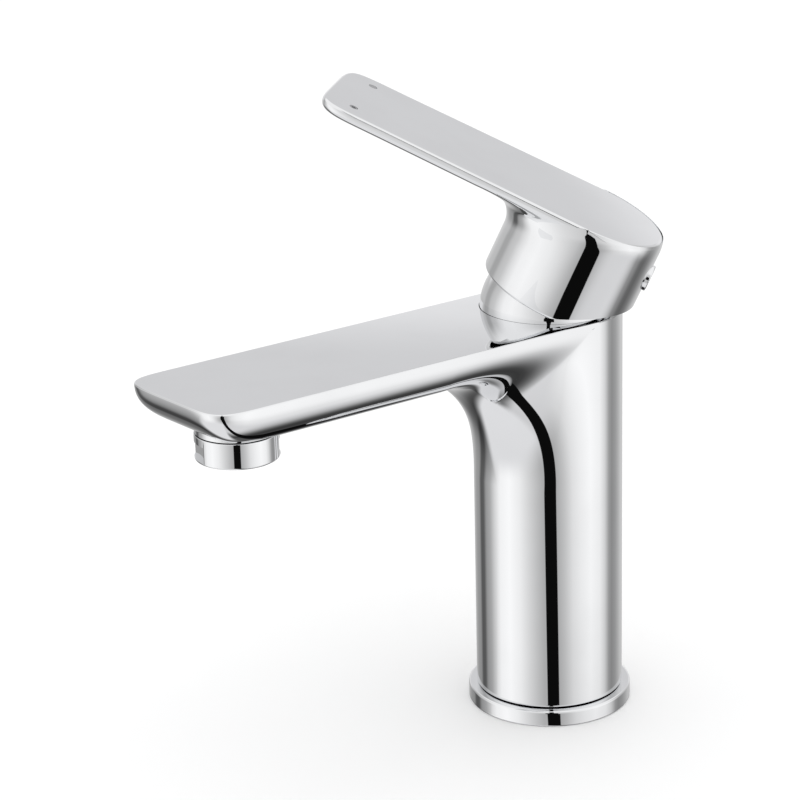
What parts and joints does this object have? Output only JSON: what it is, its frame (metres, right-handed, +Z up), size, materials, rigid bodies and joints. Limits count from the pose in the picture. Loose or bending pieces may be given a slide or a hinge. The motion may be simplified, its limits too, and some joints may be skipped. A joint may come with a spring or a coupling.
{
  "type": "bathroom mixer faucet",
  "caption": "Single-lever basin mixer: round column, flat-topped fixed spout with aerator, domed ceramic cartridge and a flat paddle lever.",
  "frame": {"origin": "centre of the base, on the basin deck that the gasket rests on", "axes": "+Z up along the column, the spout points along -Y, +X is the cold side"},
  "size_m": [0.0917, 0.168, 0.1925],
  "materials": {
    "chrome": "mirror polished",
    "brass": "machined",
    "copper": "drawn",
    "steel": "satin",
    "rubber": "matte",
    "white_plastic": "matte",
    "grey_plastic": "matte",
    "blue_plastic": "matte",
    "ceramic": "lapped",
    "enamel": "satin"
  },
  "bodies": {
    "faucet": {"faucet_body": "chrome", "base_ring": "chrome", "base_gasket": "rubber", "inlet_manifold": "brass", "hot_supply_tube": "copper", "cold_supply_tube": "copper", "cartridge_housing": "white_plastic", "cartridge_base": "grey_plastic", "port_seal_hot": "rubber", "port_seal_cold": "rubber", "port_seal_outlet": "rubber", "fixed_ceramic_disc": "ceramic", "retaining_nut": "brass", "dome_cap": "chrome", "aerator_housing": "chrome", "aerator_insert": "white_plastic", "aerator_screen": "steel", "aerator_washer": "rubber"},
    "rotor": {"cartridge_rotor": "grey_plastic", "hinge_pin": "steel"},
    "disc": {"disc_carrier": "blue_plastic", "moving_ceramic_disc": "ceramic"},
    "lever": {"lever_handle": "chrome", "lever_stem": "brass", "grub_screw": "steel", "screw_plug": "chrome", "hot_mark": "enamel", "cold_mark": "enamel"}
  },
  "joints": [
    {"name": "temperature_turn", "type": "hinge", "parent": "faucet", "child": "rotor", "pos_m": [0, 0, 0.1252], "axis": [0, 0, 1], "range_deg": [0, 102.8]},
    {"name": "lever_lift", "type": "hinge", "parent": "rotor", "child": "lever", "pos_m": [0, 0, 0.1252], "axis": [0.6239, -0.7815, 0], "range_deg": [0, 24.9]},
    {"name": "disc_slide", "type": "slide", "parent": "rotor", "child": "disc", "axis": [0.7815, 0.6239, 0], "range_m": [0, 0.00695]}
  ],
  "couplings": [
    {"joint": "disc_slide", "follows": "lever_lift", "m_per_rad": 0.015877}
  ]
}
